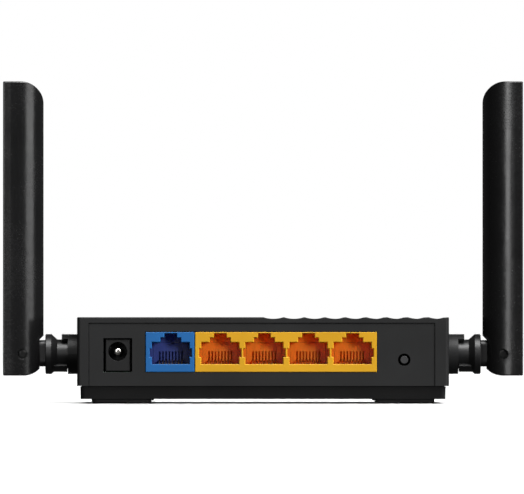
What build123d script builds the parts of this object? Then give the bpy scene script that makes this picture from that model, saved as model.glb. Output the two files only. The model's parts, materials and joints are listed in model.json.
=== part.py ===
"""Compact desktop wireless router: a low case with a port panel and two folding side antennas.

Millimetres. +Z is up, -Y is the rear, where the port panel is, and +X is to the right as seen
from behind the router. The origin is the middle of the footprint, on the surface that the
rubber feet stand on.
"""

import os
from math import radians, sqrt, tan

from build123d import *

os.makedirs("parts", exist_ok=True)

# ---- Driving dimensions -----------------------------------------------------------------

# Case
case_width = 117.8
case_depth = 88.0
case_top_z = 27.4
seam_z = 5.6  # lower edge of the top cover
wall = 2.0
roof_z = 25.2  # underside of the top cover's roof
case_corner_r = 1.3
roof_edge_r = 0.35
half_width = case_width / 2
half_depth = case_depth / 2
inner_half_width = half_width - wall
inner_half_depth = half_depth - wall

# Waves moulded into one half of the roof: scoops that run from rear to front
wave_count = 9
wave_depth = 0.5
wave_crest = 0.25  # flat left between two scoops
wave_pitch = half_width / wave_count
wave_chord = wave_pitch - wave_crest
wave_radius = wave_chord**2 / (8 * wave_depth) + wave_depth / 2

# Bottom case
tray_bottom_z = 1.45
seam_gap = 0.2  # shadow line between the two shells
tray_top_half = (half_width - 1.0, half_depth - 1.0)
tray_bottom_half = (half_width - 1.03, half_depth - 3.0)
tray_corner_r = 1.6
floor_top_z = 3.3
lip_top_z = 7.6
lip_gap = 0.15
lip_thickness = 1.2

# Port panel, held between the two shells
panel_x = (-55.05, 54.35)
panel_top_z = 25.45
panel_face_y = -(half_depth - 0.3)
panel_back_y = -(inner_half_depth - lip_gap)
panel_gap = 0.15
panel_rib_x = (54.0, 56.4)
panel_rib_thickness = 0.9

# Feet
foot_x = 44.9
foot_y = 33.5
foot_size = (19.0, 13.0)
foot_face_z = 0.45
foot_taper = 4
pad_x = 48.75
pad_r = 5.45

# Main board
board_bottom_z = 8.83
board_top_z = 10.03
board_half_width = 51.5
board_y = (-41.6, 37.0)
board_screws = [(-45.5, 30), (45.5, 30), (-39.5, -20), (39.5, -20)]
case_screws = [(-53, -9), (53, -9), (-53, 23), (53, 23)]
post_r = 2.8
standoff_r = 2.6
screw_r = 1.1
screw_bite = 0.02  # radial clearance of a screw in its post
screw_clearance = 0.2
screw_head_r = 2.2
screw_head_height = 1.4

# Network sockets
jack_front_y = -43.9
jack_back_y = -26.0
jack_top_z = 22.68
wan_x = (-37.2, -21.75)
wan_port_x = -29.27
lan_x = (-21.55, 36.0)
lan_pitch = 13.97
lan_ports_x = [7.36 + lan_pitch * (i - 1.5) for i in range(4)]
socket_floor_z = 12.54
socket_back_y = -31.4
contact_pitch = 1.02
contact_count = 8
contact_width = 0.4
contact_tip_y = -42.0
contact_groove = 0.4
mouth_chamfer = 0.2
rim_chamfer = 0.15
comb_depth = 1.6
comb_z = (13.5, 16.55)
insert_half_width = 5.55
insert_z = (11.25, 19.4)
insert_gap = 0.05

# Power socket
dc_x = -46.0
dc_z = 16.55
dc_half_width = 3.95
dc_gap = 0.6
dc_y = (-43.1, -29.1)
dc_top_z = 20.45
dc_undercut = (0.45, 6.0)  # height above the board, depth behind the face
dc_bore_r = 3.02
dc_bore_depth = 9.5
dc_pin_r = 1.25
dc_pin_setback = 0.8
dc_pin_tip_r = 0.85
dc_root_r = 0.9  # the pin's root, pressed into the housing behind the bore
dc_root_length = 2.5

# Reset button
reset_x = 44.7
reset_z = 13.9
reset_r = 1.28
reset_hole_r = 1.98
reset_face_y = -43.35
reset_bore_depth = 2.2  # in the switch: leaves the button room for its travel
reset_seat_depth = 1.2
reset_switch_y = (-37.2, -33.6)
reset_switch_height = 6.9

# Antenna swivel, on an axis along X, and fold, on an axis along Y.
# Distances with _u are measured outwards from the side wall.
hinge_y = -26.0
hinge_z = 15.68
bore_r = 4.7
stub_r = 4.65
collar_r = 6.34
collar_u = 3.2
tab_u = 5.13
tab_inner_r = 5.2
tab_half_angle = 40
boss_r = 6.6
boss_u = -(wall + 0.6)
washer_u = (-3.2, -2.65)
washer_r = (4.75, 6.3)
clip_u = (-4.05, -3.25)
groove_u = (-4.1, -3.2)
groove_r = 3.6
clip_r = 5.6
stub_end_u = -5.4
rib_r = 5.66
rib_half_angle = 48.5
rib_start_u = 3.45
cone_start_u = 6.55
cone_end_u = 8.48
flange_r = 6.35
flange_u = 10.35
fold_u = 17.4
tongue_r = 4.1
tongue_half_thickness = 3.0
neck_z = (hinge_z - 3.95, hinge_z + 4.45)
neck_edge_r = 1.7
coax_r = 0.6
coax_bore_r = 1.0
coax_break = 0.9  # distance from the fold axis at which each length of coax stops

# Antenna blade
blade_inner_u = 11.0
blade_notch_u = 12.35
blade_outer_u = 23.69
blade_bottom_z = 8.84
blade_length = 93.5
blade_top_z = blade_bottom_z + blade_length
blade_half_depth = 8.5
blade_nose = 10.3  # length along X of the half-ellipse that faces the case
blade_edge_r = 0.5  # beside the flat outer face
blade_end_r = 0.4
blade_wall = 1.5
cavity_floor_z = 26.0
cavity_top_z = blade_top_z - 6.0
tip_r = 7.0
swing_r = 6.87  # lower inner corner, round the fold pin
slot_half_width = 3.15
pin_r = 1.15
pin_bore_r = 1.2
pin_head_r = 1.25
pin_recess_r = 1.45  # at its floor: it widens towards the blade's surface
pin_recess_taper = 11
pin_recess_y = 7.0  # floor of the recess round the pin head, from the blade's middle
pin_head_height = 0.6
pin_inner_y = 1.2  # the two half pins stop here, so the coax passes between them

# Radiator in each blade: a tube below, then rods of given bottom, top and radius
radiator_tube_z = (34.0, 58.0)
radiator_tube_r = (1.9, 2.2)
radiator_rods = ((58.9, 74.0, 0.5), (74.0, 80.0, 1.5), (80.0, 93.0, 0.5))

# Status light guide
led_count = 5
led_pitch = 5.0
led_y = 33.0
led_x = [-29.4 + led_pitch * (i - (led_count - 1) / 2) for i in range(led_count)]
guide_r = 0.75
guide_hole_r = 0.8


# ---- Helpers ----------------------------------------------------------------------------


def save(builder, node):
    """Labels one finished sub-part and writes its STEP file."""
    builder.part.label = node
    export_step(builder.part, f"parts/{node}.step")


def save_both_sides(right, node):
    """Writes a sub-part of the right antenna and its mirror image on the left."""
    with BuildPart() as left:
        mirror(right.part, about=Plane.YZ)
    save(right, f"right_{node}")
    save(left, f"left_{node}")


def block(x, y, z, mode=Mode.ADD):
    """Box between the two values given for each axis."""
    middle = [sum(span) / 2 for span in (x, y, z)]
    with Locations(tuple(middle)):
        Box(x[1] - x[0], y[1] - y[0], z[1] - z[0], mode=mode)


def hinge_plane(u, side=1):
    """Plane across the swivel axis at distance u from the side wall, facing outwards."""
    origin = (side * (half_width + u), hinge_y, hinge_z)
    return Plane(origin=origin, x_dir=(0, side, 0), z_dir=(side, 0, 0))


def ring_sector(inner_r, outer_r, half_angle, up):
    """Sketch of the part of a ring within half_angle of straight up, or of straight down."""
    reach = 4 * outer_r
    height = reach if up else -reach
    spread = reach * tan(radians(half_angle))
    Circle(outer_r)
    Circle(inner_r, mode=Mode.SUBTRACT)
    Polygon((0, 0), (spread, height), (-spread, height), align=None, mode=Mode.INTERSECT)


# ---- Top cover --------------------------------------------------------------------------

with BuildPart() as top_cover:
    with BuildSketch(Plane.XY.offset(seam_z)):
        RectangleRounded(case_width, case_depth, case_corner_r)
    extrude(amount=case_top_z - seam_z)
    fillet(top_cover.faces().sort_by(Axis.Z)[-1].edges(), roof_edge_r)
    block(
        (-inner_half_width, inner_half_width),
        (-inner_half_depth, inner_half_depth),
        (seam_z, roof_z),
        Mode.SUBTRACT,
    )
    # Posts that the case screws bite into
    with BuildSketch(Plane.XY.offset(board_bottom_z)):
        with Locations(*case_screws):
            Circle(post_r)
            Circle(screw_r + screw_bite, mode=Mode.SUBTRACT)
    extrude(amount=roof_z - board_bottom_z)
    # Opening that the port panel closes
    block(
        (panel_x[0] - panel_gap, panel_x[1] + panel_gap),
        (-half_depth, -inner_half_depth + 2 * lip_gap),
        (seam_z, panel_top_z + panel_gap),
        Mode.SUBTRACT,
    )
    # Collars that carry the antennas, each with a boss inside and a stop tab outside
    for side in (1, -1):
        with BuildSketch(hinge_plane(boss_u, side)):
            Circle(boss_r)
        extrude(amount=-boss_u)
        with BuildSketch(hinge_plane(0, side)):
            Circle(collar_r)
        extrude(amount=collar_u)
        with BuildSketch(hinge_plane(collar_u, side)):
            ring_sector(tab_inner_r, collar_r, tab_half_angle, up=True)
        extrude(amount=tab_u - collar_u)
        with BuildSketch(hinge_plane(boss_u, side)):
            Circle(bore_r)
        extrude(amount=collar_u - boss_u, mode=Mode.SUBTRACT)
    # Waves in the roof
    with BuildSketch(Plane.XZ):
        for i in range(wave_count):
            with Locations((wave_pitch * (i + 0.5), case_top_z + wave_radius - wave_depth)):
                Circle(wave_radius)
    extrude(amount=case_depth, both=True, mode=Mode.SUBTRACT)
    # Windows for the status lights
    with BuildSketch(Plane.XY.offset(roof_z)):
        with Locations(*[(x, led_y) for x in led_x]):
            Circle(guide_hole_r)
    extrude(amount=case_top_z - roof_z, mode=Mode.SUBTRACT)
save(top_cover, "top_cover")

# ---- Bottom case ------------------------------------------------------------------------

keyhole_spacing = 60.0
keyhole_y = 6.0
keyhole_r = 3.4
keyhole_slot = (3.6, 9.0)
label_size = (46.0, 20.0)
label_y = 25.0
label_depth = 0.3
vent_size = (1.6, 15.0)
vent_count = 15
vent_pitch = 3.8
vent_y = -13.0
head_bore_depth = 3.0
case_boss_r = 3.0
case_boss_z = floor_top_z - 0.5

with BuildPart() as bottom_case:
    with BuildSketch(Plane.XY.offset(tray_bottom_z)):
        RectangleRounded(2 * tray_bottom_half[0], 2 * tray_bottom_half[1], tray_corner_r)
    with BuildSketch(Plane.XY.offset(seam_z - seam_gap)):
        RectangleRounded(2 * tray_top_half[0], 2 * tray_top_half[1], tray_corner_r)
    loft()
    lip_half = (inner_half_width - lip_gap, inner_half_depth - lip_gap)
    block(
        (-lip_half[0], lip_half[0]),
        (-lip_half[1], lip_half[1]),
        (floor_top_z + 1, lip_top_z),
    )
    pocket_half = (lip_half[0] - lip_thickness, lip_half[1] - lip_thickness)
    block(
        (-pocket_half[0], pocket_half[0]),
        (-pocket_half[1], pocket_half[1]),
        (floor_top_z, lip_top_z),
        Mode.SUBTRACT,
    )
    # Feet
    with BuildSketch(Plane(origin=(0, 0, tray_bottom_z), x_dir=(1, 0, 0), z_dir=(0, 0, -1))):
        with GridLocations(2 * foot_x, 2 * foot_y, 2, 2):
            RectangleRounded(*foot_size, 2.0)
    extrude(amount=tray_bottom_z - foot_face_z, taper=foot_taper)
    # Stand-offs for the board
    with BuildSketch(Plane.XY.offset(floor_top_z)):
        with Locations(*board_screws):
            Circle(standoff_r)
    extrude(amount=board_bottom_z - floor_top_z)
    with BuildSketch(Plane.XY.offset(floor_top_z + 0.4)):
        with Locations(*board_screws):
            Circle(screw_r + screw_bite)
    extrude(amount=board_bottom_z - floor_top_z, mode=Mode.SUBTRACT)
    # Bosses for the case screws, bored from below for their heads
    with BuildSketch(Plane.XY.offset(case_boss_z)):
        with Locations(*case_screws):
            Circle(case_boss_r)
    extrude(amount=board_bottom_z - 0.1 - case_boss_z)
    with BuildSketch(Plane.XY.offset(tray_bottom_z)):
        with Locations(*case_screws):
            Circle(screw_head_r + screw_clearance)
    extrude(amount=head_bore_depth, mode=Mode.SUBTRACT)
    with BuildSketch(Plane.XY.offset(tray_bottom_z)):
        with Locations(*case_screws):
            Circle(screw_r + screw_clearance)
    extrude(amount=board_bottom_z, mode=Mode.SUBTRACT)
    # Floor: air slots, wall-mount keyholes and a recess for the rating label
    with BuildSketch(Plane.XY.offset(tray_bottom_z)):
        with Locations((0, vent_y)):
            with GridLocations(vent_pitch, 1, vent_count, 1):
                SlotOverall(vent_size[1], vent_size[0], rotation=90)
        with GridLocations(keyhole_spacing, 1, 2, 1):
            with Locations((0, keyhole_y)):
                Circle(keyhole_r)
            with Locations((0, keyhole_y + keyhole_slot[1] / 2)):
                SlotOverall(keyhole_slot[1], keyhole_slot[0], rotation=90)
    extrude(amount=floor_top_z - tray_bottom_z, mode=Mode.SUBTRACT)
    block(
        (-label_size[0] / 2, label_size[0] / 2),
        (label_y - label_size[1] / 2, label_y + label_size[1] / 2),
        (tray_bottom_z, tray_bottom_z + label_depth),
        Mode.SUBTRACT,
    )
save(bottom_case, "bottom_case")

# ---- Port panel -------------------------------------------------------------------------

with BuildPart() as port_panel:
    block(
        panel_x,
        (panel_face_y, panel_back_y),
        (seam_z, panel_top_z),
    )
    # Ribs that catch behind the cover's rear corners
    for side in (-1, 1):
        block(
            sorted(side * x for x in panel_rib_x),
            (panel_back_y, panel_back_y + panel_rib_thickness),
            (lip_top_z + 0.1, roof_z - 0.1),
        )
    # Openings for the sockets and the reset button
    for x, top_z in (
        ((wan_x[0] - panel_gap, lan_x[1] + panel_gap), jack_top_z + panel_gap),
        (
            (dc_x - dc_half_width - dc_gap, dc_x + dc_half_width + dc_gap),
            dc_top_z + dc_gap / 2,
        ),
    ):
        block(x, (panel_face_y, panel_back_y), (board_top_z - 0.05, top_z), Mode.SUBTRACT)
    with BuildSketch(Plane.XZ.offset(-panel_back_y)):
        with Locations((reset_x, reset_z)):
            Circle(reset_hole_r)
    extrude(amount=panel_back_y - panel_face_y, mode=Mode.SUBTRACT)
save(port_panel, "port_panel")

# ---- Feet, label and screws -------------------------------------------------------------

with BuildPart() as rubber_feet:
    with BuildSketch():
        with GridLocations(2 * pad_x, 2 * foot_y, 2, 2):
            Circle(pad_r)
    extrude(amount=foot_face_z)
    fillet(rubber_feet.edges().group_by(Axis.Z)[0], 0.15)
save(rubber_feet, "rubber_feet")

with BuildPart() as rating_label:
    with BuildSketch(Plane.XY.offset(tray_bottom_z + 0.1)):
        with Locations((0, label_y)):
            RectangleRounded(label_size[0] - 1, label_size[1] - 1, 1.0)
    extrude(amount=label_depth - 0.1)
save(rating_label, "rating_label")


def screw_profile(head_z, tip_z):
    """Half section of a pan-head screw in the XZ plane, for turning about Z."""
    up = 1 if tip_z > head_z else -1
    head_top = head_z
    head_bottom = head_z + up * screw_head_height
    Polygon(
        (0, head_top),
        (screw_head_r - 0.6, head_top),
        (screw_head_r, head_top + up * 0.6),
        (screw_head_r, head_bottom),
        (screw_r, head_bottom),
        (screw_r, tip_z - up * 0.8),
        (0.3, tip_z),
        (0, tip_z),
        align=None,
    )


def screws(points, head_z, tip_z):
    """Pan-head screws with a cross recess, at the given points."""
    up = 1 if tip_z > head_z else -1
    with BuildPart(mode=Mode.PRIVATE) as one:
        with BuildSketch(Plane.XZ):
            screw_profile(head_z, tip_z)
        revolve(axis=Axis.Z)
        with Locations((0, 0, head_z + up * 0.4)):
            Box(2.6, 0.55, 0.8, mode=Mode.SUBTRACT)
            Box(0.55, 2.6, 0.8, mode=Mode.SUBTRACT)
    with BuildPart() as group:
        with Locations(*points):
            add(one.part)
    return group


save(screws(case_screws, head_z=3.05, tip_z=14.5), "case_screws")
save(screws(board_screws, head_z=board_top_z + screw_head_height, tip_z=4.2), "board_screws")

# ---- Main board -------------------------------------------------------------------------

with BuildPart() as main_board:
    block((-board_half_width, board_half_width), board_y, (board_bottom_z, board_top_z))
    with BuildSketch(Plane.XY.offset(board_bottom_z)):
        with Locations(*case_screws):
            Circle(post_r + 0.5)
        with Locations(*board_screws):
            Circle(screw_r + screw_clearance)
    extrude(amount=board_top_z - board_bottom_z, mode=Mode.SUBTRACT)
save(main_board, "main_board")


def chip(x, y, size, height, base_z=board_top_z):
    """Square-edged package standing on the board, centred on (x, y)."""
    block(
        (x - size[0] / 2, x + size[0] / 2),
        (y - size[1] / 2, y + size[1] / 2),
        (base_z, base_z + height),
    )


soc_at = (2.0, 6.0)
with BuildPart() as processor_chip:
    chip(*soc_at, (14, 14), 1.2)
    chamfer(processor_chip.edges().group_by(Axis.Z)[-1], 0.2)
save(processor_chip, "processor_chip")

with BuildPart() as thermal_pad:
    chip(*soc_at, (14, 14), 0.5, board_top_z + 1.2)
save(thermal_pad, "thermal_pad")

heat_sink_z = board_top_z + 1.7
fin_count = 7
with BuildPart() as heat_sink:
    chip(*soc_at, (20, 20), 1.5, heat_sink_z)
    with Locations((*soc_at, heat_sink_z + 3.9)):
        with GridLocations(3.1, 1, fin_count, 1):
            Box(1.0, 20, 4.8)
save(heat_sink, "heat_sink")

with BuildPart() as memory_chip:
    chip(24, 2, (9, 13.5), 1.0)
save(memory_chip, "memory_chip")

flash_at = (24.0, 20.0)
with BuildPart() as flash_chip:
    chip(*flash_at, (5.3, 5.3), 1.7, board_top_z + 0.1)
    for end in (-1, 1):
        with Locations((flash_at[0], flash_at[1] + end * 3.1, board_top_z + 0.3)):
            with GridLocations(1.27, 1, 4, 1):
                Box(0.4, 1.2, 0.6)
save(flash_chip, "flash_chip")

with BuildPart() as crystal:
    with BuildSketch(Plane.XY.offset(board_top_z)):
        with Locations((12, 22)):
            SlotOverall(11.0, 4.6)
    extrude(amount=3.5)
    fillet(crystal.edges().group_by(Axis.Z)[-1], 0.6)
save(crystal, "crystal")

capacitor_at = [(-47, -3), (-47, 5), (35, -13)]
with BuildPart() as capacitors:
    with BuildSketch(Plane.XY.offset(board_top_z)):
        with Locations(*capacitor_at):
            Circle(3.15)
    extrude(amount=8.0)
    fillet(capacitors.edges().group_by(Axis.Z)[-1], 0.4)
save(capacitors, "capacitors")

with BuildPart() as inductors:
    for x in (-42, -33):
        chip(x, 21, (6, 6), 3.0)
    chamfer(inductors.edges().filter_by(Axis.Z), 1.0)
save(inductors, "inductors")

with BuildPart() as small_components:
    with Locations((35, 8, board_top_z + 0.25)):
        with GridLocations(1.7, 3.2, 5, 7):
            Box(0.8, 1.6, 0.5)
save(small_components, "small_components")

shield_at = (-30.0, 4.0)
with BuildPart() as shield_frame:
    chip(*shield_at, (24, 18), 2.6)
    block(
        (shield_at[0] - 11.7, shield_at[0] + 11.7),
        (shield_at[1] - 8.7, shield_at[1] + 8.7),
        (board_top_z, board_top_z + 2.6),
        Mode.SUBTRACT,
    )
save(shield_frame, "shield_frame")

with BuildPart() as shield_lid:
    chip(*shield_at, (24.7, 18.7), 2.0, board_top_z + 0.95)
    block(
        (shield_at[0] - 12.05, shield_at[0] + 12.05),
        (shield_at[1] - 9.05, shield_at[1] + 9.05),
        (board_top_z + 0.95, board_top_z + 2.65),
        Mode.SUBTRACT,
    )
    with BuildSketch(Plane.XY.offset(board_top_z + 2.65)):
        with Locations(shield_at):
            with GridLocations(4, 4, 5, 4):
                Circle(0.6)
    extrude(amount=0.3, mode=Mode.SUBTRACT)
save(shield_lid, "shield_lid")

with BuildPart() as wan_transformer:
    chip(wan_port_x, -18.5, (12.7, 9.5), 4.5)
    chamfer(wan_transformer.edges().group_by(Axis.Z)[-1], 0.4)
save(wan_transformer, "wan_transformer")

with BuildPart() as lan_transformer:
    chip(7.3, -18.0, (28, 12), 5.5)
    chamfer(lan_transformer.edges().group_by(Axis.Z)[-1], 0.4)
save(lan_transformer, "lan_transformer")

with BuildPart() as status_leds:
    for x in led_x:
        chip(x, led_y, (2.0, 1.25), 0.8)
save(status_leds, "status_leds")

with BuildPart() as light_guide:
    with BuildSketch(Plane.XY.offset(board_top_z + 1.1)):
        with Locations(*[(x, led_y) for x in led_x]):
            Circle(guide_r)
    extrude(amount=case_top_z - board_top_z - 1.1)
    block(
        (led_x[0] - 2.5, led_x[-1] + 2.5),
        (led_y - 1.5, led_y + 1.5),
        (roof_z - 1.6, roof_z - 0.05),
    )
    fillet(light_guide.faces().filter_by(Plane.XY).group_by(Axis.Z)[-1].edges(), 0.2)
save(light_guide, "light_guide")

# ---- Network sockets --------------------------------------------------------------------

socket_front = Plane.XZ.offset(-jack_front_y)


def socket_outline(x):
    """Sketch of a modular socket's opening: body, latch steps above and side notches."""
    for half, low, high in (
        (5.98, socket_floor_z, 19.45),
        (3.25, 19.3, 20.9),
        (1.97, 20.8, 22.25),
        (6.65, 14.8, 17.43),
    ):
        with Locations((x, (low + high) / 2)):
            Rectangle(2 * half, high - low)


def contact_x(port_x):
    """X of each contact of one port."""
    return [port_x + contact_pitch * (i - (contact_count - 1) / 2) for i in range(contact_count)]


def socket_housing(span, ports):
    """Housing for one or more sockets side by side, with open backs for the contact inserts."""
    with BuildPart() as housing:
        block(span, (jack_front_y, jack_back_y), (board_top_z, jack_top_z))
        chamfer(housing.edges().group_by(Axis.Y)[0], rim_chamfer)
        with BuildSketch(socket_front):
            for x in ports:
                socket_outline(x)
        extrude(amount=jack_front_y - socket_back_y, mode=Mode.SUBTRACT)
        mouth = housing.faces().sort_by(Axis.Y)[0]
        chamfer(mouth.inner_wires().edges(), mouth_chamfer)
        for x in ports:
            block(
                (x - insert_half_width - insert_gap, x + insert_half_width + insert_gap),
                (socket_back_y, jack_back_y),
                (insert_z[0] - insert_gap, insert_z[1] + insert_gap),
                Mode.SUBTRACT,
            )
        # Grooves in each socket's floor for the contacts
        for x in ports:
            for cx in contact_x(x):
                block(
                    (cx - contact_width / 2 - insert_gap, cx + contact_width / 2 + insert_gap),
                    (contact_tip_y - contact_groove, socket_back_y),
                    (socket_floor_z - contact_groove, socket_floor_z),
                    Mode.SUBTRACT,
                )
    return housing


def contact_inserts(ports):
    """Insert behind each socket, with a comb that guides the contacts' free ends."""
    with BuildPart() as inserts:
        for x in ports:
            block(
                (x - insert_half_width, x + insert_half_width),
                (socket_back_y, jack_back_y + 0.1),
                insert_z,
            )
            for cx in contact_x(x):
                block(
                    (cx - 0.28, cx + 0.28),
                    (socket_back_y, socket_back_y + comb_depth),
                    comb_z,
                    Mode.SUBTRACT,
                )
    return inserts


def contact_springs(ports):
    """Spring contacts: each rises from its groove to its slot in the comb."""
    low = socket_floor_z - 0.3
    with BuildPart() as springs:
        for x in ports:
            for cx in contact_x(x):
                with BuildSketch(Plane.YZ.offset(cx - contact_width / 2)):
                    Polygon(
                        (contact_tip_y, low),
                        (contact_tip_y + 0.5, low + 0.3),
                        (socket_back_y + 1.2, comb_z[0] + 0.55),
                        (socket_back_y + 1.2, comb_z[0] + 0.25),
                        (contact_tip_y + 0.7, low),
                        align=None,
                    )
                extrude(amount=contact_width)
    return springs


save(socket_housing(wan_x, [wan_port_x]), "wan_socket_housing")
save(contact_inserts([wan_port_x]), "wan_contact_insert")
save(contact_springs([wan_port_x]), "wan_contacts")
save(socket_housing(lan_x, lan_ports_x), "lan_socket_housing")
save(contact_inserts(lan_ports_x), "lan_contact_inserts")
save(contact_springs(lan_ports_x), "lan_contacts")

# ---- Power socket -----------------------------------------------------------------------

with BuildPart() as dc_socket_housing:
    block((dc_x - dc_half_width, dc_x + dc_half_width), dc_y, (board_top_z, dc_top_z))
    chamfer(dc_socket_housing.edges().group_by(Axis.Y)[0], 0.3)
    block(
        (dc_x - dc_half_width, dc_x + dc_half_width),
        (dc_y[0], dc_y[0] + dc_undercut[1]),
        (board_top_z, board_top_z + dc_undercut[0]),
        Mode.SUBTRACT,
    )
    for radius, depth in (
        (dc_bore_r, dc_bore_depth),
        (dc_root_r, dc_bore_depth + dc_root_length),
    ):
        with BuildSketch(Plane.XZ.offset(-dc_y[0])):
            with Locations((dc_x, dc_z)):
                Circle(radius)
        extrude(amount=-depth, mode=Mode.SUBTRACT)
    # Slot below the bore for the spring contact
    block(
        (dc_x - 1.15, dc_x + 1.15),
        (dc_y[0] + 1.5, dc_y[0] + dc_bore_depth),
        (dc_z - dc_bore_r - 0.6, dc_z - dc_pin_r),
        Mode.SUBTRACT,
    )
save(dc_socket_housing, "power_socket_housing")

with BuildPart() as dc_pin:
    for radius, depth in (
        (dc_pin_r, dc_bore_depth),
        (dc_root_r, dc_bore_depth + dc_root_length),
    ):
        with BuildSketch(Plane.XZ.offset(-(dc_y[0] + dc_pin_setback))):
            with Locations((dc_x, dc_z)):
                Circle(radius)
        extrude(amount=dc_pin_setback - depth)
    fillet(dc_pin.edges().group_by(Axis.Y)[0], dc_pin_tip_r)
save(dc_pin, "power_socket_pin")

with BuildPart() as dc_spring:
    low = dc_z - dc_bore_r - 0.55
    with BuildSketch(Plane.YZ.offset(dc_x - 1.0)):
        Polygon(
            (dc_y[0] + 2.4, low),
            (dc_y[0] + 9.3, low),
            (dc_y[0] + 9.3, low + 0.3),
            (dc_y[0] + 5.5, low + 0.75),
            (dc_y[0] + 2.4, low + 0.3),
            align=None,
        )
    extrude(amount=2.0)
save(dc_spring, "power_socket_spring")

# ---- Reset button -----------------------------------------------------------------------

with BuildPart() as reset_switch:
    switch_z = (board_top_z, board_top_z + reset_switch_height)
    block((reset_x - 3.1, reset_x + 3.1), reset_switch_y, switch_z)
    with BuildSketch(Plane.XZ.offset(-reset_switch_y[0])):
        with Locations((reset_x, reset_z)):
            Circle(reset_r + 0.05)
    extrude(amount=-reset_bore_depth, mode=Mode.SUBTRACT)
save(reset_switch, "reset_switch_body")

with BuildPart() as reset_bracket:
    plate_y = (reset_switch_y[1], reset_switch_y[1] + 0.4)
    block((reset_x - 3.5, reset_x + 3.5), plate_y, (board_top_z, board_top_z + 7.2))
    for end in (-1, 1):
        edge = reset_x + end * 3.3
        block((edge - 0.2, edge + 0.2), (-36.6, plate_y[1]), (board_top_z, board_top_z + 4.5))
save(reset_bracket, "reset_switch_bracket")

with BuildPart() as reset_button:
    with BuildSketch(Plane.XZ.offset(-reset_face_y)):
        with Locations((reset_x, reset_z)):
            Circle(reset_r)
    extrude(amount=-(reset_switch_y[0] + reset_seat_depth - reset_face_y))
    fillet(reset_button.edges().group_by(Axis.Y)[0], 0.25)
save(reset_button, "reset_button")

# ---- Antennas: right-hand sub-parts, mirrored for the left -------------------------------

axis_x = half_width + fold_u  # X of the fold pin
swivel_axis = Axis((0, hinge_y, hinge_z), (1, 0, 0))


def along_hinge(radius_profile):
    """Sketch for turning about the swivel axis, from (u, radius) points on one side of it."""
    points = [(half_width + u, hinge_z + r) for u, r in radius_profile]
    ends = [(points[-1][0], hinge_z), (points[0][0], hinge_z)]
    Polygon(*points, *ends, align=None)


hinge_xz = Plane.XZ.offset(-hinge_y)

with BuildPart() as swivel_stub:
    with BuildSketch(hinge_xz):
        along_hinge(
            [
                (stub_end_u, stub_r - 0.4),
                (stub_end_u + 0.4, stub_r),
                (groove_u[0], stub_r),
                (groove_u[0], groove_r),
                (groove_u[1], groove_r),
                (groove_u[1], stub_r),
                (cone_start_u, stub_r),
                (cone_end_u, flange_r),
                (flange_u - 0.25, flange_r),
                (flange_u, flange_r - 0.25),
            ]
        )
    revolve(axis=swivel_axis)
    # Rib that meets the collar's tab at the end of the swivel
    with BuildSketch(hinge_plane(rib_start_u)):
        ring_sector(stub_r - 0.5, rib_r, rib_half_angle, up=False)
    extrude(amount=cone_end_u - 0.9 - rib_start_u)
    # Tongue round the fold pin, on a neck with rounded edges
    with BuildSketch(hinge_plane(flange_u - 0.1)):
        with Locations((0, sum(neck_z) / 2 - hinge_z)):
            RectangleRounded(2 * tongue_half_thickness, neck_z[1] - neck_z[0], neck_edge_r)
    extrude(amount=fold_u - flange_u + 0.1)
    with BuildSketch(hinge_xz):
        with Locations((axis_x, hinge_z)):
            Circle(tongue_r)
    extrude(amount=tongue_half_thickness, both=True)
    # Bore for the pins, bore for the coax, and the slot where the coax turns upwards
    with BuildSketch(hinge_xz):
        with Locations((axis_x, hinge_z)):
            Circle(pin_bore_r)
    extrude(amount=2 * tongue_half_thickness, both=True, mode=Mode.SUBTRACT)
    with BuildSketch(hinge_plane(stub_end_u)):
        Circle(coax_bore_r)
    extrude(amount=fold_u - stub_end_u, mode=Mode.SUBTRACT)
    block(
        (axis_x - coax_bore_r, axis_x + 2 * tongue_r),
        (hinge_y - coax_bore_r, hinge_y + coax_bore_r),
        (hinge_z - coax_bore_r, hinge_z + 2 * tongue_r),
        Mode.SUBTRACT,
    )
save_both_sides(swivel_stub, "swivel_stub")

with BuildPart() as friction_washer:
    with BuildSketch(hinge_plane(washer_u[0])):
        Circle(washer_r[1])
        Circle(washer_r[0], mode=Mode.SUBTRACT)
    extrude(amount=washer_u[1] - washer_u[0])
save_both_sides(friction_washer, "friction_washer")

with BuildPart() as retaining_clip:
    with BuildSketch(hinge_plane(clip_u[0])):
        Circle(clip_r)
        Circle(groove_r + 0.05, mode=Mode.SUBTRACT)
        with Locations((0, clip_r)):
            Rectangle(3.2, 2 * clip_r, mode=Mode.SUBTRACT)
    extrude(amount=clip_u[1] - clip_u[0])
save_both_sides(retaining_clip, "retaining_clip")

with BuildPart() as fold_pins:
    for end in (-1, 1):
        with BuildSketch(Plane.XZ.offset(-hinge_y + end * pin_inner_y)):
            with Locations((axis_x, hinge_z)):
                Circle(pin_r)
        extrude(amount=end * (pin_recess_y - pin_inner_y))
        with BuildSketch(Plane.XZ.offset(-hinge_y + end * pin_recess_y)):
            with Locations((axis_x, hinge_z)):
                Circle(pin_head_r)
        extrude(amount=end * pin_head_height)
    rims = fold_pins.edges().group_by(Axis.Y)
    fillet(rims[0] + rims[-1], 0.25)
save_both_sides(fold_pins, "fold_pins")


def blade_section(inset, z):
    """Sketch of the blade's section: flat outer face, short flats beside it, oval inner nose."""
    outer = half_width + blade_outer_u - inset
    nose_x = half_width + blade_inner_u + blade_nose
    reach = blade_half_depth - inset
    with BuildSketch(Plane.XY.offset(z)) as section:
        with BuildLine():
            EllipticalCenterArc(
                (nose_x, hinge_y), blade_nose - inset, reach, start_angle=90, arc_size=180
            )
            Polyline(
                (nose_x, hinge_y - reach),
                (outer, hinge_y - reach),
                (outer, hinge_y + reach),
                (nose_x, hinge_y + reach),
            )
        make_face()
    return section.sketch


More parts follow.
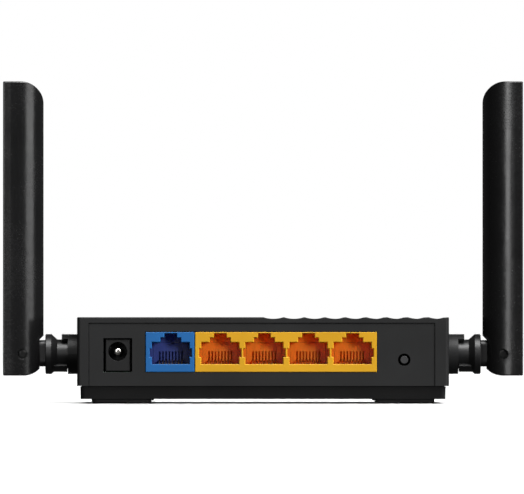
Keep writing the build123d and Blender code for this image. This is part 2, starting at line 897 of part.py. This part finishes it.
def blade_side_profile():
    """Sketch of the blade seen from the rear: notch above the neck, round lower inner corner."""
    outer = half_width + blade_outer_u
    inner = half_width + blade_inner_u
    notch = half_width + blade_notch_u
    low_corner_x = axis_x - sqrt(swing_r**2 - (hinge_z - blade_bottom_z) ** 2)
    side_corner_z = hinge_z - sqrt(swing_r**2 - (axis_x - notch) ** 2)
    with BuildSketch(hinge_xz) as profile:
        with BuildLine():
            Polyline(
                (low_corner_x, blade_bottom_z),
                (outer, blade_bottom_z),
                (outer, blade_top_z),
                (inner + tip_r, blade_top_z),
            )
            tip_top = (inner + tip_r, blade_top_z)
            tip_side = (inner, blade_top_z - tip_r)
            RadiusArc(tip_top, tip_side, -tip_r)
            Polyline(
                tip_side,
                (inner, hinge_z + 5.9),
                (notch, hinge_z + 4.6),
                (notch, side_corner_z),
            )
            RadiusArc((notch, side_corner_z), (low_corner_x, blade_bottom_z), -swing_r)
        make_face()
    return profile.sketch


with BuildPart() as antenna_blade:
    extrude(blade_section(0, blade_bottom_z), amount=blade_length)
    fillet(antenna_blade.edges().filter_by(Axis.Z).group_by(Axis.X)[-1], blade_edge_r)
    fillet(antenna_blade.faces().sort_by(Axis.Z)[-1].edges(), blade_end_r)
    extrude(blade_side_profile(), amount=case_depth, both=True, mode=Mode.INTERSECT)
    fillet(antenna_blade.faces().sort_by(Axis.Z)[0].edges(), blade_end_r)
    # Cavity for the radiator
    cavity = blade_section(blade_wall, cavity_floor_z)
    extrude(cavity, amount=cavity_top_z - cavity_floor_z, mode=Mode.SUBTRACT)
    # Slot that takes the tongue, open inwards and downwards, and the way up for the coax
    slot_r = neck_z[1] - hinge_z + 0.3
    with BuildSketch(hinge_xz):
        with Locations((axis_x, hinge_z)):
            Circle(slot_r)
        with Locations((axis_x + slot_r - 12, hinge_z - 10)):
            Rectangle(24, 20)
        with Locations((axis_x - 10, hinge_z)):
            Rectangle(20, 2 * slot_r)
    extrude(amount=slot_half_width, both=True, mode=Mode.SUBTRACT)
    with BuildSketch(Plane.XY.offset(hinge_z)):
        with Locations((axis_x, hinge_y)):
            Circle(1.6)
    extrude(amount=cavity_floor_z - hinge_z, mode=Mode.SUBTRACT)
    # Holes for the pins, with a recess round each head
    with BuildSketch(hinge_xz):
        with Locations((axis_x, hinge_z)):
            Circle(pin_r + 0.01)
    extrude(amount=blade_half_depth, both=True, mode=Mode.SUBTRACT)
    for end in (-1, 1):
        with BuildSketch(Plane.XZ.offset(-hinge_y + end * pin_recess_y)):
            with Locations((axis_x, hinge_z)):
                Circle(pin_recess_r)
        recess_depth = blade_half_depth - pin_recess_y + 0.1
        extrude(amount=end * recess_depth, taper=-pin_recess_taper, mode=Mode.SUBTRACT)
save_both_sides(antenna_blade, "antenna_blade")

with BuildPart() as radiator:
    with BuildSketch(Plane.XY.offset(radiator_tube_z[0])):
        with Locations((axis_x, hinge_y)):
            Circle(radiator_tube_r[1])
            Circle(radiator_tube_r[0], mode=Mode.SUBTRACT)
    extrude(amount=radiator_tube_z[1] - radiator_tube_z[0])
    for low, high, r in radiator_rods:
        with BuildSketch(Plane.XY.offset(low)):
            with Locations((axis_x, hinge_y)):
                Circle(r)
        extrude(amount=high - low)
save_both_sides(radiator, "radiator")

with BuildPart() as blade_coax:
    coax_bottom_z = hinge_z + coax_break
    with BuildSketch(Plane.XY.offset(coax_bottom_z)):
        with Locations((axis_x, hinge_y)):
            Circle(coax_r)
    extrude(amount=radiator_rods[0][0] - 0.1 - coax_bottom_z)
save_both_sides(blade_coax, "blade_coax")

with BuildPart() as stub_coax:
    with BuildSketch(hinge_plane(stub_end_u + 0.05)):
        Circle(coax_r)
    extrude(amount=fold_u - coax_break - stub_end_u - 0.05)
save_both_sides(stub_coax, "stub_coax")

# Coax inside the case, from the swivel's inner end to its pad on the board
coax_start_x = half_width + stub_end_u - 0.05
coax_end = (42.4, -12.5, board_top_z + 0.75)
coax_route = [
    (coax_start_x, hinge_y, hinge_z),
    (48.0, hinge_y, 15.5),
    (43.8, -23.2, 13.85),
    (42.4, -18.0, 11.8),
    coax_end,
]


def corner_radii(route):
    """For each corner of a route, the largest arc that leaves a tenth of each run straight."""
    radii = []
    for before, corner, after in zip(route, route[1:], route[2:]):
        into = Vector(corner) - Vector(before)
        out = Vector(after) - Vector(corner)
        turn = radians(into.get_angle(out))
        radii.append(0.45 * min(into.length, out.length) / tan(turn / 2))
    return radii


print("coax arc radii", [round(r, 1) for r in corner_radii(coax_route)])

with BuildPart() as case_coax:
    with BuildLine() as coax_line:
        FilletPolyline(*coax_route, radius=corner_radii(coax_route))
    with BuildSketch(Plane(origin=coax_line.line @ 0, z_dir=coax_line.line % 0)):
        Circle(coax_r)
    sweep()
save_both_sides(case_coax, "case_coax")

with BuildPart() as coax_ferrule:
    with BuildSketch(Plane.XZ.offset(-coax_end[1] - 0.15)):
        with Locations((coax_end[0], coax_end[2])):
            Circle(0.75)
    extrude(amount=-2.4)
save_both_sides(coax_ferrule, "coax_ferrule")
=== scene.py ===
"""Looks of a compact wireless router: procedural materials, soft studio light and the camera."""

import json
import math

import bpy
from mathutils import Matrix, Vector


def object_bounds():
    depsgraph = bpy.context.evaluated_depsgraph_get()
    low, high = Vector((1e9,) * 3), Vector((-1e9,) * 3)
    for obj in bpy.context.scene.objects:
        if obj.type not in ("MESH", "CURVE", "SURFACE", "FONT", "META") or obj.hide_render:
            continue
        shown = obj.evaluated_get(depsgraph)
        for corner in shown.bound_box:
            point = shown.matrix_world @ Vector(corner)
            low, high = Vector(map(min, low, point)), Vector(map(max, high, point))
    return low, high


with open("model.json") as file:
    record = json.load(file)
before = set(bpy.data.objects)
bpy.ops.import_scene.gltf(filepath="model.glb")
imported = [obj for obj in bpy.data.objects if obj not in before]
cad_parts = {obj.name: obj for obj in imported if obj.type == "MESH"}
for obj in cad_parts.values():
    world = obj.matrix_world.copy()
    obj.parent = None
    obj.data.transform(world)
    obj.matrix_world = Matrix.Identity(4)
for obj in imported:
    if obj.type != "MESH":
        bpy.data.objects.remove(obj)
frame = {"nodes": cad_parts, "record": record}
cad_low, cad_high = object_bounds()
nodes = frame["nodes"]

MM = 0.001

# Painted bounce light: between these places the sockets' colour turns to one standing in for cavity
# light.
painted_bounce_start_y = -43.6 * MM
painted_bounce_full_y = -38.0 * MM

# Sizes of the detail on moulded plastic.
cloud_size = 18 * MM
speckle_size = 0.6 * MM
mould_grain = 0.22 * MM
mould_grain_depth = 0.012 * MM
mould_edge_r = 0.12 * MM
cloud_tints = (0.92, 1.08)  # from the darkest to the lightest cloud, times the colour
uneven_roughness = 0.05

# Wear: how far it reaches from an edge, the size of its patches, and the cosine between the
# rounded and the true normal on an edge that is worn fully and on a face that isn't worn.
wear_width = 0.35 * MM
wear_patch = 2.5 * MM
worn_cosine = 0.8
unworn_cosine = 0.985
least_wear = 0.2  # on an edge, where the patches are thinnest
worn_tint = 1.25
worn_lift = 0.001
worn_polish = 0.1  # what wear takes off the roughness

# Sizes of the detail on metal.
tarnish_size = 3 * MM
streak_size = 0.15 * MM
streak_depth = 0.003 * MM
metal_edge_r = 0.05 * MM
tarnish_tint = 0.8

# ---- Small node-tree helpers ------------------------------------------------------------


class Material:
    """A Principled material under construction, with short calls for the nodes used here."""

    def __init__(self, name, color, roughness, metallic=0.0, specular=0.5):
        self.name = name
        self.data = bpy.data.materials.new(name)
        self.data.use_nodes = True
        self.nodes = self.data.node_tree.nodes
        self.links = self.data.node_tree.links
        self.shader = self.nodes["Principled BSDF"]
        self.shade("Base Color", (*color, 1))
        self.shade("Roughness", roughness)
        self.shade("Metallic", metallic)
        self.shade("Specular IOR Level", specular)
        self.data.diffuse_color = (*color, 1)
        self.place = self.nodes.new("ShaderNodeTexCoord").outputs["Object"]
        self.rounded = None

    def put(self, target, value):
        """Links an input to a socket, or sets it to a value."""
        if isinstance(value, bpy.types.NodeSocket):
            self.links.new(value, target)
        else:
            target.default_value = value

    def shade(self, name, value):
        """Puts a socket or a value into the named input of the shader."""
        self.put(self.shader.inputs[name], value)

    def add(self, kind, **inputs):
        """New node, with each named input linked to a socket or set to a value."""
        node = self.nodes.new(kind)
        for name, value in inputs.items():
            self.put(node.inputs[name.replace("_", " ")], value)
        return node

    def noise(self, size, detail=2, stretch=(1, 1, 1)):
        """Noise from 0 to 1, mostly 0.3 to 0.7, with features of about the given size in metres."""
        place = self.add("ShaderNodeMapping", Vector=self.place, Scale=stretch).outputs[0]
        node = self.add("ShaderNodeTexNoise", Vector=place, Scale=1 / size, Detail=detail)
        return node.outputs["Fac"]

    def span(self, value, low, high, start=0.3, end=0.7):
        """Maps value from start..end to low..high, and holds it there beyond the ends."""
        return self.add(
            "ShaderNodeMapRange",
            Value=value,
            From_Min=start,
            From_Max=end,
            To_Min=low,
            To_Max=high,
        ).outputs[0]

    def math(self, operation, first, second):
        """Result of one operation on two numbers."""
        node = self.nodes.new("ShaderNodeMath")
        node.operation = operation
        self.put(node.inputs[0], first)
        self.put(node.inputs[1], second)
        return node.outputs[0]

    def mix(self, factor, first, second):
        """Colour between first and second."""
        node = self.nodes.new("ShaderNodeMix")
        node.data_type = "RGBA"
        self.put(node.inputs["Factor"], factor)
        for socket, color in ((node.inputs["A"], first), (node.inputs["B"], second)):
            self.put(socket, (*color, 1) if isinstance(color, tuple) else color)
        return node.outputs["Result"]

    def round_edges(self, radius):
        """Softens sharp edges in the shading, as a mould does."""
        self.rounded = self.add("ShaderNodeBevel", Radius=radius).outputs[0]

    def bump(self, height, distance):
        """Relief of the given depth, on top of the rounded edges if there are any."""
        node = self.add("ShaderNodeBump", Height=height, Distance=distance, Strength=1.0)
        if self.rounded is not None:
            self.links.new(self.rounded, node.inputs["Normal"])
        self.shade("Normal", node.outputs[0])

    def edge_wear(self):
        """1 at worn edges and 0 on smooth faces, broken up by noise."""
        round_normal = self.add("ShaderNodeBevel", Radius=wear_width).outputs[0]
        flat_normal = self.nodes.new("ShaderNodeNewGeometry").outputs["Normal"]
        node = self.nodes.new("ShaderNodeVectorMath")
        node.operation = "DOT_PRODUCT"
        self.links.new(round_normal, node.inputs[0])
        self.links.new(flat_normal, node.inputs[1])
        turned = self.span(node.outputs["Value"], 1.0, 0.0, worn_cosine, unworn_cosine)
        patches = self.span(self.noise(wear_patch, detail=4), least_wear, 1.0)
        return self.math("MULTIPLY", turned, patches)


def tinted(color, factor, lift=0.0):
    """The colour made lighter or darker, and at most white."""
    return tuple(min(1, channel * factor + lift) for channel in color)


def moulded_plastic(
    name,
    color,
    roughness,
    specular=0.5,
    grain=mould_grain,
    depth=mould_grain_depth,
    painted_bounce_color=None,
):
    """Moulded plastic: spark-eroded grain, slight cloudiness, edges a little polished by handling.

    Given a colour for painted bounce light, the plastic turns to it with depth behind the sockets'
    faces.
    """
    plastic = Material(name, color, roughness, specular=specular)
    cloud = plastic.noise(cloud_size, detail=3)
    darkest, lightest = (tinted(color, factor) for factor in cloud_tints)
    base = plastic.mix(plastic.span(cloud, 0, 1), darkest, lightest)
    wear = plastic.edge_wear()
    base = plastic.mix(wear, base, tinted(color, worn_tint, worn_lift))
    # Painted bounce light: deeper behind the face, the colour turns to one standing in for light in
    # the cavity.
    if painted_bounce_color:
        behind = plastic.add("ShaderNodeSeparateXYZ", Vector=plastic.place).outputs["Y"]
        base = plastic.mix(plastic.span(behind, 0, 1, painted_bounce_start_y, painted_bounce_full_y), base, painted_bounce_color)
    plastic.shade("Base Color", base)

    both = plastic.math("ADD", cloud, plastic.noise(speckle_size))
    smooth, rough = roughness - uneven_roughness, roughness + uneven_roughness
    unworn = plastic.span(both, smooth, rough, start=0.7, end=1.3)
    polish = plastic.math("MULTIPLY", wear, worn_polish)
    plastic.shade("Roughness", plastic.math("SUBTRACT", unworn, polish))
    plastic.round_edges(mould_edge_r)
    plastic.bump(plastic.noise(grain), depth)
    return plastic


def socket_plastic(name, face, painted_bounce_color):
    """Coloured plastic of a network socket: its own colour at its face, painted bounce light in its
    depth.
    """
    return moulded_plastic(name, face, roughness=0.42, specular=0.15, painted_bounce_color=painted_bounce_color)


def metal(name, color, roughness, streak=(1, 1, 1)):
    """Bare metal with fine drawn or rolled streaks and a slight tarnish."""
    bare = Material(name, color, roughness, metallic=1.0)
    tarnish = bare.span(bare.noise(tarnish_size, detail=4), 0, 1)
    bare.shade("Base Color", bare.mix(tarnish, color, tinted(color, tarnish_tint)))
    lines = bare.noise(streak_size, stretch=streak)
    bare.shade("Roughness", bare.span(lines, roughness - 0.06, roughness + 0.1))
    bare.round_edges(metal_edge_r)
    bare.bump(lines, streak_depth)
    return bare


# ---- Materials: one for each material slot of the CAD nodes -------------------------------

materials = [
    moulded_plastic("cover_plastic", (0.0135, 0.0137, 0.0139), roughness=0.5, specular=0.14),
    moulded_plastic("tray_plastic", (0.019, 0.019, 0.0192), roughness=0.6, specular=0.15),
    moulded_plastic(
        "antenna_plastic",
        (0.005, 0.005, 0.0052),
        roughness=0.24,
        specular=0.45,
        grain=0.4 * MM,
        depth=0.001 * MM,
    ),
    moulded_plastic("hinge_plastic", (0.009, 0.009, 0.0093), roughness=0.4, specular=0.3),
    moulded_plastic(
        "foot_rubber",
        (0.01, 0.01, 0.01),
        roughness=0.8,
        specular=0.2,
        grain=0.3 * MM,
        depth=0.03 * MM,
    ),
    moulded_plastic(
        "label_paper",
        (0.55, 0.56, 0.57),
        roughness=0.45,
        specular=0.4,
        grain=0.3 * MM,
        depth=0.004 * MM,
    ),
    metal("screw_steel", (0.55, 0.55, 0.54), roughness=0.35),
    # Blackened steel, whose surface looks like the plastics'.
    moulded_plastic("pin_steel", (0.006, 0.006, 0.006), roughness=0.22, specular=0.3),
    # The sockets' second colours are painted bounce light inside the cavities, not the plastic's
    # own colour.
    socket_plastic("blue_plastic", face=(0.012, 0.105, 0.31), painted_bounce_color=(0.07, 0.1, 0.36)),
    socket_plastic("yellow_plastic", face=(0.56, 0.29, 0.011), painted_bounce_color=(0.95, 0.28, 0.03)),
    metal("contact_gold", (0.83, 0.6, 0.28), roughness=0.28),
    moulded_plastic("socket_black", (0.014, 0.014, 0.0142), roughness=0.38, specular=0.14),
    metal("contact_nickel", (0.72, 0.7, 0.66), roughness=0.2),
    moulded_plastic("button_grey", (0.034, 0.034, 0.035), roughness=0.5, specular=0.15),
    metal("tin_plate", (0.62, 0.62, 0.6), roughness=0.32),
    moulded_plastic("board_green", (0.012, 0.085, 0.035), roughness=0.3, specular=0.5),
    moulded_plastic("chip_black", (0.014, 0.014, 0.015), roughness=0.55, specular=0.4),
    moulded_plastic("pad_grey", (0.3, 0.33, 0.36), roughness=0.7, specular=0.3),
    metal("sink_aluminium", (0.78, 0.78, 0.79), roughness=0.38, streak=(1, 0.03, 1)),
    moulded_plastic("ferrite_grey", (0.05, 0.05, 0.055), roughness=0.6, specular=0.4),
    moulded_plastic("ceramic_tan", (0.36, 0.25, 0.15), roughness=0.4, specular=0.5),
    moulded_plastic("led_white", (0.85, 0.83, 0.7), roughness=0.3, specular=0.5),
    moulded_plastic("guide_clear", (0.7, 0.74, 0.78), roughness=0.15, specular=0.5),
    metal("radiator_brass", (0.72, 0.5, 0.22), roughness=0.3),
    moulded_plastic("coax_jacket", (0.015, 0.015, 0.015), roughness=0.45, specular=0.5),
]
finishes = {material.name: material.data for material in materials}

for part in frame["record"]["subparts"]:
    surface = nodes[part["node"]].data.materials
    surface.clear()
    surface.append(finishes[part["material_slot"]])

# ---- Studio -----------------------------------------------------------------------------

strip_aim = Vector((0, 0, 30 * MM))
floor_reach = 40.0
floor_patch = 0.2
floor_grain = 2 * MM
floor_grain_depth = 0.02 * MM


def grey(level):
    """Neutral colour of the given brightness."""
    return (level, level, level)


def new_object(name, data):
    """A new object in the scene that holds the given light, camera or mesh."""
    thing = bpy.data.objects.new(name, data)
    bpy.context.scene.collection.objects.link(thing)
    return thing


def strip(name, azimuth, reach, height, size, power, diffuse=True, glossy=True):
    """Soft box, azimuth degrees to the right of the camera, that the camera doesn't see."""
    light = bpy.data.lights.new(name, "AREA")
    light.shape = "RECTANGLE"
    light.size, light.size_y = size
    light.energy = power
    lamp = new_object(name, light)
    turn = math.radians(azimuth)
    place = Vector((reach * math.sin(turn), -reach * math.cos(turn), height))
    lamp.location = place
    lamp.rotation_euler = (strip_aim - place).to_track_quat("-Z", "Y").to_euler()
    lamp.visible_camera = False
    lamp.visible_diffuse = diffuse
    lamp.visible_glossy = glossy


def sun(name, azimuth, elevation, angle, strength):
    """Very soft distant light without shine, azimuth degrees to the right of the camera."""
    light = bpy.data.lights.new(name, "SUN")
    light.energy = strength
    light.angle = math.radians(angle)
    lamp = new_object(name, light)
    turn = math.radians(azimuth)
    rise = math.radians(elevation)
    level = math.cos(rise)
    towards = Vector((math.sin(turn) * level, -math.cos(turn) * level, math.sin(rise)))
    lamp.rotation_euler = towards.to_track_quat("Z", "Y").to_euler()
    lamp.visible_glossy = False


def studio_floor():
    """Plain pale floor that the camera sees, and that neither lights nor shines on the object."""
    mesh = bpy.data.meshes.new("floor")
    far = floor_reach
    corners = [(-far, -far, 0), (far, -far, 0), (far, far, 0), (-far, far, 0)]
    mesh.from_pydata(corners, [], [(0, 1, 2, 3)])
    floor = new_object("floor", mesh)
    pale = Material("studio_floor", grey(0.86), roughness=0.6, specular=0.2)
    patches = pale.span(pale.noise(floor_patch), 0, 1)
    pale.shade("Base Color", pale.mix(patches, grey(0.85), grey(0.87)))
    pale.bump(pale.noise(floor_grain), floor_grain_depth)
    mesh.materials.append(pale.data)
    floor.visible_diffuse = False
    floor.visible_glossy = False


def world_light(strength, backdrop):
    """Even white surroundings, brighter where the camera looks past the object."""
    world = bpy.data.worlds.new("studio")
    bpy.context.scene.world = world
    world.use_nodes = True
    tree = world.node_tree
    background = tree.nodes["Background"]
    background.inputs["Color"].default_value = (1, 1, 1, 1)
    path = tree.nodes.new("ShaderNodeLightPath")
    choose = tree.nodes.new("ShaderNodeMapRange")
    choose.inputs["To Min"].default_value = strength
    choose.inputs["To Max"].default_value = backdrop
    tree.links.new(path.outputs["Is Camera Ray"], choose.inputs["Value"])
    tree.links.new(choose.outputs[0], background.inputs["Strength"])


studio_floor()
world_light(strength=0.06, backdrop=1.0)
sun("back", azimuth=180, elevation=12, angle=24, strength=19)
strip("front_left", azimuth=-19, reach=3.0, height=0.8, size=(0.75, 1.5), power=37, diffuse=False)
strip("front_right", azimuth=60, reach=1.6, height=0.42, size=(0.9, 0.8), power=10)
strip("fill", azimuth=18, reach=3.0, height=0.4, size=(0.5, 0.5), power=30, glossy=False)
strip("key", azimuth=50, reach=1.4, height=1.4, size=(1.0, 1.0), power=62)
strip("top", azimuth=8, reach=0.75, height=1.6, size=(1.2, 1.0), power=60, diffuse=False)

# ---- Camera: level with the case, square on to the rear panel ----------------------------

view_width = 165.9 * MM  # what the frame takes in at the rear face
view_centre_z = 49.62 * MM
distance = 3.0  # from the rear face
eye_x = -0.32 * MM
eye_z = 24 * MM
rear_y = cad_low.y

camera_data = bpy.data.cameras.new("camera")
camera_data.sensor_width = 36
camera = new_object("camera", camera_data)
camera.location = (eye_x, rear_y - distance, eye_z)
aim = Vector((eye_x, rear_y, view_centre_z)) - camera.location
camera.rotation_euler = aim.to_track_quat("-Z", "Y").to_euler()
camera_data.lens = camera_data.sensor_width * aim.length / view_width
camera_data.clip_start = 0.05
camera_data.clip_end = 100
bpy.context.scene.camera = camera
bpy.context.scene.view_settings.view_transform = "Standard"
